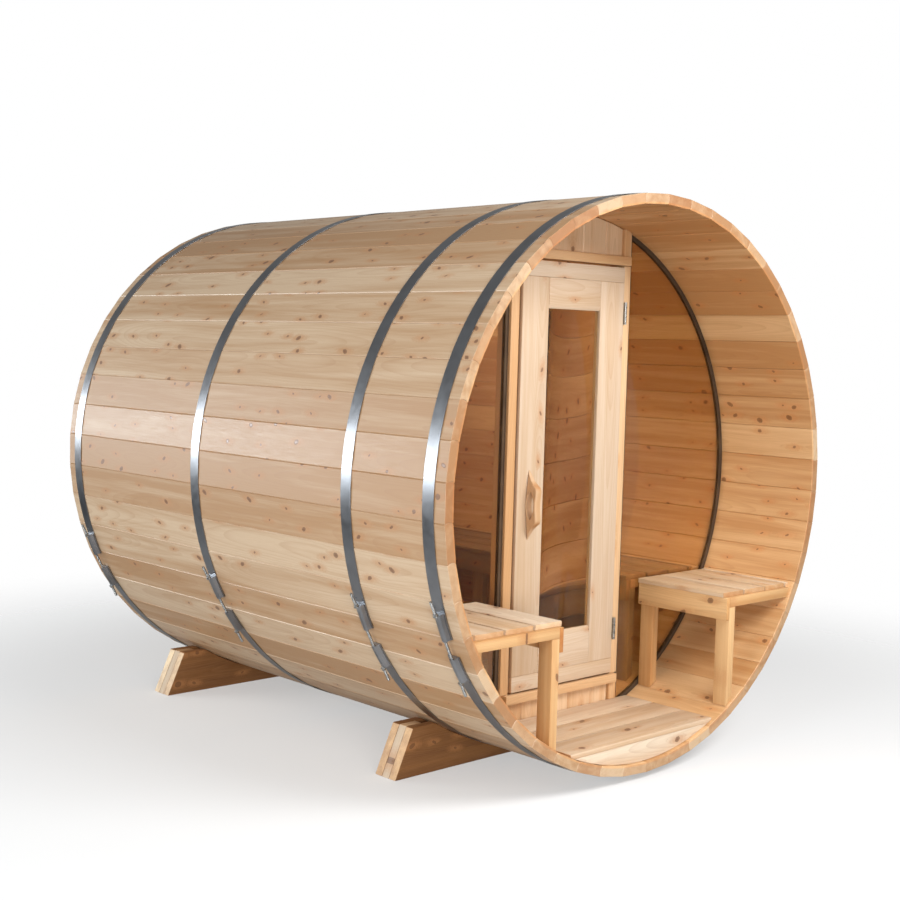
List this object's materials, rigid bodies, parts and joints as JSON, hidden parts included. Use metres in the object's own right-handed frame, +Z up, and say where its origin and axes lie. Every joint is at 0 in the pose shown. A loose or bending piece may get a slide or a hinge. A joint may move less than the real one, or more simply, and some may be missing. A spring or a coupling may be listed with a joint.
{
  "type": "barrel sauna",
  "caption": "Barrel sauna: stave cask on two cradles, steel bands with tensioners, porch with benches, bronze glass front wall and a hinged glazed door.",
  "frame": {"origin": "middle of the footprint on the ground, under the cask axis", "axes": "+Z up, cask axis along Y with the porch facing -Y, +X to the right seen from the porch"},
  "size_m": [2.1372, 2.44, 2.1606],
  "materials": {
    "stave_cedar": "planed, unfinished",
    "band_steel": "galvanised strip",
    "rod_steel": "zinc-plated thread",
    "cradle_wood": "planed, unfinished",
    "trim_cedar": "planed, unfinished",
    "wall_cedar": "planed, unfinished",
    "bronze_glass": "clear bronze tint",
    "gasket_rubber": "matt",
    "floor_cedar": "planed, unfinished",
    "bench_cedar": "planed, unfinished",
    "hinge_steel": "satin",
    "handle_cedar": "oiled",
    "door_cedar": "planed, unfinished"
  },
  "bodies": {
    "cask": {"shell_top_right": "stave_cedar", "shell_upper_right": "stave_cedar", "shell_lower_right": "stave_cedar", "shell_bottom_right": "stave_cedar", "shell_bottom_left": "stave_cedar", "shell_lower_left": "stave_cedar", "shell_upper_left": "stave_cedar", "shell_top_left": "stave_cedar", "band_1": "band_steel", "band_2": "band_steel", "band_3": "band_steel", "band_4": "band_steel", "tension_rods": "rod_steel", "cradle_front": "cradle_wood", "cradle_rear": "cradle_wood", "post_left": "trim_cedar", "post_right": "trim_cedar", "boards_over_door": "wall_cedar", "boards_under_door": "wall_cedar", "header_trim": "trim_cedar", "sill_trim": "trim_cedar", "glass_left": "bronze_glass", "glass_right": "bronze_glass", "gasket_left": "gasket_rubber", "gasket_right": "gasket_rubber", "back_wall": "wall_cedar", "porch_floor": "floor_cedar", "porch_fascia": "floor_cedar", "room_floor": "floor_cedar", "floor_bearers": "floor_cedar", "porch_bench_left_top": "bench_cedar", "porch_bench_left_frame": "bench_cedar", "porch_bench_right_top": "bench_cedar", "porch_bench_right_frame": "bench_cedar", "room_bench_left_top": "bench_cedar", "room_bench_left_frame": "bench_cedar", "room_bench_right_top": "bench_cedar", "room_bench_right_frame": "bench_cedar", "hinge_frame_leaves": "hinge_steel"},
    "door": {"door_stiles": "door_cedar", "door_rails": "door_cedar", "door_panels": "door_cedar", "door_glass": "bronze_glass", "door_handle": "handle_cedar", "hinge_door_leaves": "hinge_steel"}
  },
  "joints": [
    {"name": "door_hinge", "type": "hinge", "parent": "cask", "child": "door", "pos_m": [0.2945, -0.7915, 1.09], "axis": [0, 0, 1], "range_deg": [0, 100]}
  ]
}
